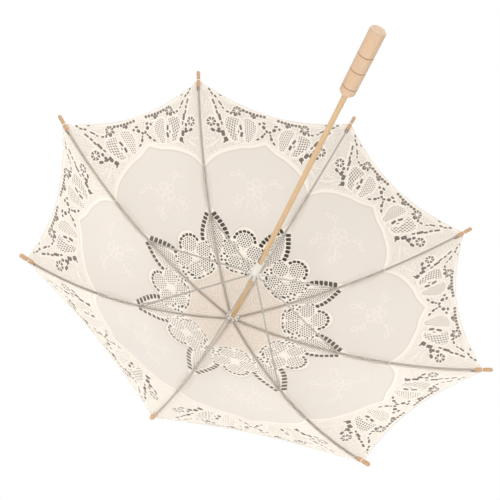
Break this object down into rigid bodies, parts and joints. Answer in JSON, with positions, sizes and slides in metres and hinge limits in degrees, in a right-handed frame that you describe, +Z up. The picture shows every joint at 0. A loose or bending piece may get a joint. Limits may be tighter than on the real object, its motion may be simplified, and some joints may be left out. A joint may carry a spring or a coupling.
{
  "type": "lace parasol",
  "caption": "Small folding parasol with a cream tape lace and muslin canopy on steel ribs, a sliding runner and a turned wooden handle.",
  "frame": {"origin": "centre of the handle's flat end", "axes": "+Z up along the shaft to the ferrule; rib 5 points along +X and rib 3 along +Y"},
  "size_m": [0.7722, 0.7722, 0.6616],
  "materials": {
    "handle_wood": "satin varnish",
    "shaft_wood": "satin varnish",
    "tip_wood": "bare, sanded",
    "white_plastic": "moulded, off-white",
    "steel_wire": "drawn wire",
    "painted_steel": "off-white enamel",
    "stretcher_steel": "thin worn enamel on grey steel",
    "cotton_lace": "cream cotton tape lace with muslin panels",
    "patch_cotton": "plain cream cotton",
    "cap_wood": "turned, sanded"
  },
  "bodies": {
    "root": {"handle": "handle_wood", "shaft": "shaft_wood", "crown_notch": "white_plastic", "crown_wire": "steel_wire", "crown_patch": "patch_cotton", "crown_cap": "cap_wood", "ferrule": "cap_wood", "catch_spring": "steel_wire"},
    "runner": {"runner": "white_plastic", "runner_wire": "steel_wire"},
    "rib_1": {"rib_1": "painted_steel", "rib_tip_1": "tip_wood", "rib_rivet_1": "steel_wire", "canopy_1_left": "cotton_lace", "canopy_1_right": "cotton_lace"},
    "stretcher_1": {"stretcher_1": "stretcher_steel"},
    "rib_2": {"rib_2": "painted_steel", "rib_tip_2": "tip_wood", "rib_rivet_2": "steel_wire", "canopy_2_left": "cotton_lace", "canopy_2_right": "cotton_lace"},
    "stretcher_2": {"stretcher_2": "stretcher_steel"},
    "rib_3": {"rib_3": "painted_steel", "rib_tip_3": "tip_wood", "rib_rivet_3": "steel_wire", "canopy_3_left": "cotton_lace", "canopy_3_right": "cotton_lace"},
    "stretcher_3": {"stretcher_3": "stretcher_steel"},
    "rib_4": {"rib_4": "painted_steel", "rib_tip_4": "tip_wood", "rib_rivet_4": "steel_wire", "canopy_4_left": "cotton_lace", "canopy_4_right": "cotton_lace"},
    "stretcher_4": {"stretcher_4": "stretcher_steel"},
    "rib_5": {"rib_5": "painted_steel", "rib_tip_5": "tip_wood", "rib_rivet_5": "steel_wire", "canopy_5_left": "cotton_lace", "canopy_5_right": "cotton_lace"},
    "stretcher_5": {"stretcher_5": "stretcher_steel"},
    "rib_6": {"rib_6": "painted_steel", "rib_tip_6": "tip_wood", "rib_rivet_6": "steel_wire", "canopy_6_left": "cotton_lace", "canopy_6_right": "cotton_lace"},
    "stretcher_6": {"stretcher_6": "stretcher_steel"},
    "rib_7": {"rib_7": "painted_steel", "rib_tip_7": "tip_wood", "rib_rivet_7": "steel_wire", "canopy_7_left": "cotton_lace", "canopy_7_right": "cotton_lace"},
    "stretcher_7": {"stretcher_7": "stretcher_steel"},
    "rib_8": {"rib_8": "painted_steel", "rib_tip_8": "tip_wood", "rib_rivet_8": "steel_wire", "canopy_8_left": "cotton_lace", "canopy_8_right": "cotton_lace"},
    "stretcher_8": {"stretcher_8": "stretcher_steel"}
  },
  "joints": [
    {"name": "runner_slide", "type": "slide", "parent": "root", "child": "runner", "axis": [0, 0, -1], "range_m": [0, 0.2278], "deforming": ["canopy_1_left", "canopy_1_right", "canopy_2_left", "canopy_2_right", "canopy_3_left", "canopy_3_right", "canopy_4_left", "canopy_4_right", "canopy_5_left", "canopy_5_right", "canopy_6_left", "canopy_6_right", "canopy_7_left", "canopy_7_right", "canopy_8_left", "canopy_8_right", "catch_spring"]},
    {"name": "rib_hinge_1", "type": "hinge", "parent": "root", "child": "rib_1", "pos_m": [-0.009, 0, 0.607], "axis": [0, -1, 0], "range_deg": [0, 60.36]},
    {"name": "stretcher_hinge_1", "type": "hinge", "parent": "rib_1", "child": "stretcher_1", "pos_m": [-0.17364, 0, 0.54926], "axis": [0, -1, 0], "range_deg": [-120.72, 0]},
    {"name": "rib_hinge_2", "type": "hinge", "parent": "root", "child": "rib_2", "pos_m": [-0.00636, 0.00636, 0.607], "axis": [-0.7071, -0.7071, 0], "range_deg": [0, 60.36]},
    {"name": "stretcher_hinge_2", "type": "hinge", "parent": "rib_2", "child": "stretcher_2", "pos_m": [-0.12278, 0.12278, 0.54926], "axis": [-0.7071, -0.7071, 0], "range_deg": [-120.72, 0]},
    {"name": "rib_hinge_3", "type": "hinge", "parent": "root", "child": "rib_3", "pos_m": [0, 0.009, 0.607], "axis": [-1, 0, 0], "range_deg": [0, 60.36]},
    {"name": "stretcher_hinge_3", "type": "hinge", "parent": "rib_3", "child": "stretcher_3", "pos_m": [0, 0.17364, 0.54926], "axis": [-1, 0, 0], "range_deg": [-120.72, 0]},
    {"name": "rib_hinge_4", "type": "hinge", "parent": "root", "child": "rib_4", "pos_m": [0.00636, 0.00636, 0.607], "axis": [-0.7071, 0.7071, 0], "range_deg": [0, 60.36]},
    {"name": "stretcher_hinge_4", "type": "hinge", "parent": "rib_4", "child": "stretcher_4", "pos_m": [0.12278, 0.12278, 0.54926], "axis": [-0.7071, 0.7071, 0], "range_deg": [-120.72, 0]},
    {"name": "rib_hinge_5", "type": "hinge", "parent": "root", "child": "rib_5", "pos_m": [0.009, 0, 0.607], "axis": [0, 1, 0], "range_deg": [0, 60.36]},
    {"name": "stretcher_hinge_5", "type": "hinge", "parent": "rib_5", "child": "stretcher_5", "pos_m": [0.17364, 0, 0.54926], "axis": [0, 1, 0], "range_deg": [-120.72, 0]},
    {"name": "rib_hinge_6", "type": "hinge", "parent": "root", "child": "rib_6", "pos_m": [0.00636, -0.00636, 0.607], "axis": [0.7071, 0.7071, 0], "range_deg": [0, 60.36]},
    {"name": "stretcher_hinge_6", "type": "hinge", "parent": "rib_6", "child": "stretcher_6", "pos_m": [0.12278, -0.12278, 0.54926], "axis": [0.7071, 0.7071, 0], "range_deg": [-120.72, 0]},
    {"name": "rib_hinge_7", "type": "hinge", "parent": "root", "child": "rib_7", "pos_m": [0, -0.009, 0.607], "axis": [1, 0, 0], "range_deg": [0, 60.36]},
    {"name": "stretcher_hinge_7", "type": "hinge", "parent": "rib_7", "child": "stretcher_7", "pos_m": [0, -0.17364, 0.54926], "axis": [1, 0, 0], "range_deg": [-120.72, 0]},
    {"name": "rib_hinge_8", "type": "hinge", "parent": "root", "child": "rib_8", "pos_m": [-0.00636, -0.00636, 0.607], "axis": [0.7071, -0.7071, 0], "range_deg": [0, 60.36]},
    {"name": "stretcher_hinge_8", "type": "hinge", "parent": "rib_8", "child": "stretcher_8", "pos_m": [-0.12278, -0.12278, 0.54926], "axis": [0.7071, -0.7071, 0], "range_deg": [-120.72, 0]}
  ],
  "couplings": [
    {"joint": "rib_hinge_1", "follows": "runner_slide", "rad_per_m": 4.6208},
    {"joint": "stretcher_hinge_1", "follows": "runner_slide", "rad_per_m": -9.2416},
    {"joint": "rib_hinge_2", "follows": "runner_slide", "rad_per_m": 4.6208},
    {"joint": "stretcher_hinge_2", "follows": "runner_slide", "rad_per_m": -9.2416},
    {"joint": "rib_hinge_3", "follows": "runner_slide", "rad_per_m": 4.6208},
    {"joint": "stretcher_hinge_3", "follows": "runner_slide", "rad_per_m": -9.2416},
    {"joint": "rib_hinge_4", "follows": "runner_slide", "rad_per_m": 4.6208},
    {"joint": "stretcher_hinge_4", "follows": "runner_slide", "rad_per_m": -9.2416},
    {"joint": "rib_hinge_5", "follows": "runner_slide", "rad_per_m": 4.6208},
    {"joint": "stretcher_hinge_5", "follows": "runner_slide", "rad_per_m": -9.2416},
    {"joint": "rib_hinge_6", "follows": "runner_slide", "rad_per_m": 4.6208},
    {"joint": "stretcher_hinge_6", "follows": "runner_slide", "rad_per_m": -9.2416},
    {"joint": "rib_hinge_7", "follows": "runner_slide", "rad_per_m": 4.6208},
    {"joint": "stretcher_hinge_7", "follows": "runner_slide", "rad_per_m": -9.2416},
    {"joint": "rib_hinge_8", "follows": "runner_slide", "rad_per_m": 4.6208},
    {"joint": "stretcher_hinge_8", "follows": "runner_slide", "rad_per_m": -9.2416}
  ]
}
